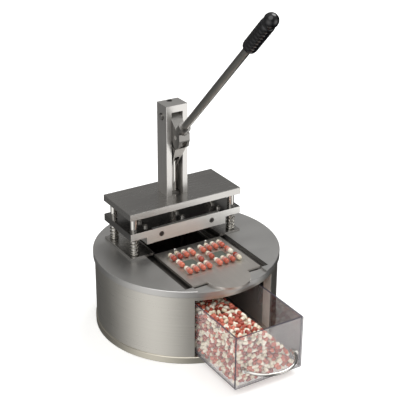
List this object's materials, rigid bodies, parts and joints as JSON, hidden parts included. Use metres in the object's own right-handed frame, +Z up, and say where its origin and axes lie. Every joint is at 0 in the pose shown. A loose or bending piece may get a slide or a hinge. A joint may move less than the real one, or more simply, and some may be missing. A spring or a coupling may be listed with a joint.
{
  "type": "manual deblistering press",
  "caption": "Hand press that pushes capsules out of blister cards: round drum, four-post spring press, toggle lever, slide-in tray and clear drawer.",
  "frame": {"origin": "centre of the drum's flat base, on the table", "axes": "+Z up, the drawer and the tray open towards -Y, the lever swings in the YZ plane"},
  "size_m": [0.3, 0.4225, 0.5591],
  "materials": {
    "brushed_plate": "brushed stainless sheet and plate",
    "machined_steel": "ground and milled steel",
    "polished_steel": "polished",
    "fastener_steel": "plain stainless fasteners",
    "spring_steel": "drawn spring wire",
    "clear_acrylic": "clear cast acrylic sheet",
    "black_grip": "moulded, lightly polished"
  },
  "bodies": {
    "frame": {"base_disc": "brushed_plate", "base_screws": "fastener_steel", "column": "brushed_plate", "column_screws": "fastener_steel", "deck_plate": "brushed_plate", "drawer_rail_left": "machined_steel", "drawer_rail_right": "machined_steel", "drawer_rail_screws": "fastener_steel", "drawer_stop": "machined_steel", "drop_chute": "brushed_plate", "drum_shell": "brushed_plate", "guide_post_back_left": "polished_steel", "guide_post_back_right": "polished_steel", "guide_post_front_left": "polished_steel", "guide_post_front_right": "polished_steel", "head_plate": "brushed_plate", "pivot_clips": "fastener_steel", "pivot_pin": "polished_steel", "post_nuts": "fastener_steel", "post_shoe_left": "brushed_plate", "post_shoe_right": "brushed_plate", "ram_bush": "machined_steel", "return_spring_back_left": "spring_steel", "return_spring_back_right": "spring_steel", "return_spring_front_left": "spring_steel", "return_spring_front_right": "spring_steel", "stop_screw": "fastener_steel", "tie_pillars": "machined_steel", "tray_guide_left": "machined_steel", "tray_guide_right": "machined_steel"},
    "lever": {"lever_hub": "machined_steel", "lever_rod": "machined_steel", "lever_grip": "black_grip"},
    "link": {"toggle_link": "machined_steel", "crank_pin": "polished_steel"},
    "press": {"ram": "polished_steel", "ram_pin": "polished_steel", "ram_screw": "fastener_steel", "press_plate": "brushed_plate", "post_bushes": "machined_steel", "gib_left": "brushed_plate", "gib_right": "brushed_plate", "plate_screws": "fastener_steel", "punch_plate": "machined_steel", "punches": "machined_steel", "front_bar": "brushed_plate", "front_bar_screws": "fastener_steel"},
    "tray": {"tray_plate": "brushed_plate", "tray_format_plate": "brushed_plate", "tray_locating_pins": "polished_steel", "tray_runner_left": "machined_steel", "tray_runner_right": "machined_steel"},
    "drawer": {"drawer_floor": "clear_acrylic", "drawer_left_wall": "clear_acrylic", "drawer_right_wall": "clear_acrylic", "drawer_back_wall": "clear_acrylic", "drawer_front_wall": "clear_acrylic", "drawer_handle": "polished_steel", "drawer_handle_nuts": "polished_steel"}
  },
  "joints": [
    {"name": "lever_pivot", "type": "hinge", "parent": "frame", "child": "lever", "pos_m": [0, 0.043, 0.338], "axis": [1, 0, 0], "range_deg": [0, 36], "stiffness_Nm_per_rad": 8, "springref_deg": -25.78},
    {"name": "press_slide", "type": "slide", "parent": "frame", "child": "press", "axis": [0, 0, -1], "range_m": [0, 0.015], "deforming": ["return_spring_front_left", "return_spring_front_right", "return_spring_back_left", "return_spring_back_right"]},
    {"name": "link_hinge", "type": "hinge", "parent": "lever", "child": "link", "pos_m": [0, 0.018, 0.309], "axis": [1, 0, 0], "range_deg": [-59.26, 0]},
    {"name": "tray_slide", "type": "slide", "parent": "frame", "child": "tray", "axis": [0, 1, 0], "range_m": [0, 0.099]},
    {"name": "drawer_slide", "type": "slide", "parent": "frame", "child": "drawer", "axis": [0, -1, 0], "range_m": [-0.086, 0.06]}
  ],
  "couplings": [
    {"joint": "press_slide", "follows": "lever_pivot", "m_per_rad": 0.02387},
    {"joint": "link_hinge", "follows": "lever_pivot", "ratio": -1.6461}
  ]
}
